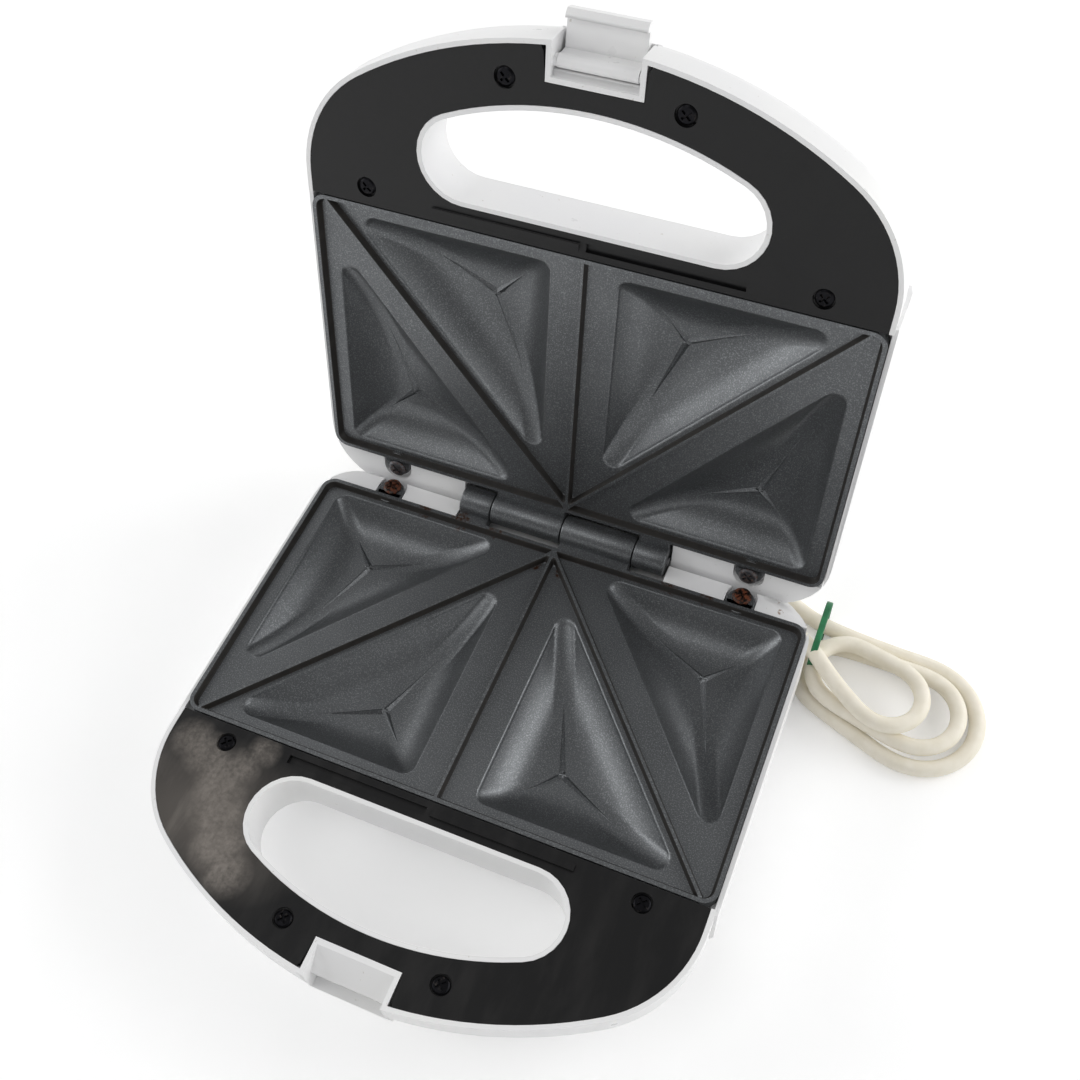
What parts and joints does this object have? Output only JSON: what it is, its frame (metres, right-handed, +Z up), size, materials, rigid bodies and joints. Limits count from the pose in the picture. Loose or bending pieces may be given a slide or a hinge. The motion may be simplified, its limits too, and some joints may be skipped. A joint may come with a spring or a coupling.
{
  "type": "sandwich toaster",
  "caption": "Table-top sandwich toaster with two hinged white halves, dark ridged non-stick plates, loop handles with black covers, a front latch clip and a mains cord in a hank",
  "frame": {"origin": "middle of the footprint of the toaster without its cord, on the table under the feet", "axes": "+X to the right seen from the handle side, +Y back towards the hinge, +Z up; the hinge runs along X"},
  "size_m": [0.309, 0.279, 0.2562],
  "materials": {
    "white_housing": "glossy white moulding",
    "black_cover": "satin black, worn",
    "black_screw": "blackened steel",
    "coated_plate": "dark non-stick coating on cast aluminium",
    "rusty_screw": "steel with rust",
    "steel_screw": "plain steel",
    "element_steel": "bright steel",
    "reflector_sheet": "bright aluminium sheet",
    "ceramic_white": "glazed ceramic",
    "fuse_sleeve": "glass-fibre sleeve",
    "wire_sleeve": "silicone insulation",
    "ivory_cord": "ivory PVC",
    "black_plastic": "black plastic",
    "rubber_foot": "black rubber",
    "lamp_glass": "small neon bulbs",
    "red_lens": "clear red plastic",
    "green_lens": "clear green plastic",
    "white_bracket": "white plastic",
    "white_clip": "glossy white moulding",
    "green_tie": "dark green plastic-coated wire"
  },
  "bodies": {
    "base": {"base_shell": "white_housing", "base_handle_cover": "black_cover", "base_cover_screws": "black_screw", "base_plate": "coated_plate", "base_plate_screws": "rusty_screw", "base_element": "element_steel", "base_element_clamps": "element_steel", "base_clamp_screws": "steel_screw", "base_reflector": "reflector_sheet", "thermostat": "ceramic_white", "thermal_fuse": "fuse_sleeve", "terminal_block": "ceramic_white", "base_wiring": "wire_sleeve", "cord_inner": "ivory_cord", "cord_clamp": "black_plastic", "cord_clamp_screws": "steel_screw", "strain_relief": "ivory_cord", "rubber_feet": "rubber_foot", "hinge_pin": "element_steel", "mains_cord": "ivory_cord", "cord_hank": "ivory_cord", "cord_tie": "green_tie", "mains_plug": "ivory_cord", "plug_pins": "element_steel"},
    "lid": {"lid_shell": "white_housing", "lid_handle_cover": "black_cover", "lid_cover_screws": "black_screw", "lid_plate": "coated_plate", "lid_plate_screws": "steel_screw", "lid_element": "element_steel", "lid_element_clamps": "element_steel", "lid_clamp_screws": "steel_screw", "lid_reflector": "reflector_sheet", "indicator_lamps": "lamp_glass", "red_lens": "red_lens", "green_lens": "green_lens", "lamp_holder": "white_bracket", "lid_wiring": "wire_sleeve", "latch_pin": "element_steel"},
    "latch": {"latch_clip": "white_clip"}
  },
  "joints": [
    {"name": "lid_hinge", "type": "hinge", "parent": "base", "child": "lid", "pos_m": [0, 0.0712, 0.046], "axis": [1, 0, 0], "range_deg": [0, 103]},
    {"name": "latch_turn", "type": "hinge", "parent": "lid", "child": "latch", "pos_m": [0, 0.1209, 0.24258], "axis": [1, 0, 0], "range_deg": [0, 95]}
  ]
}
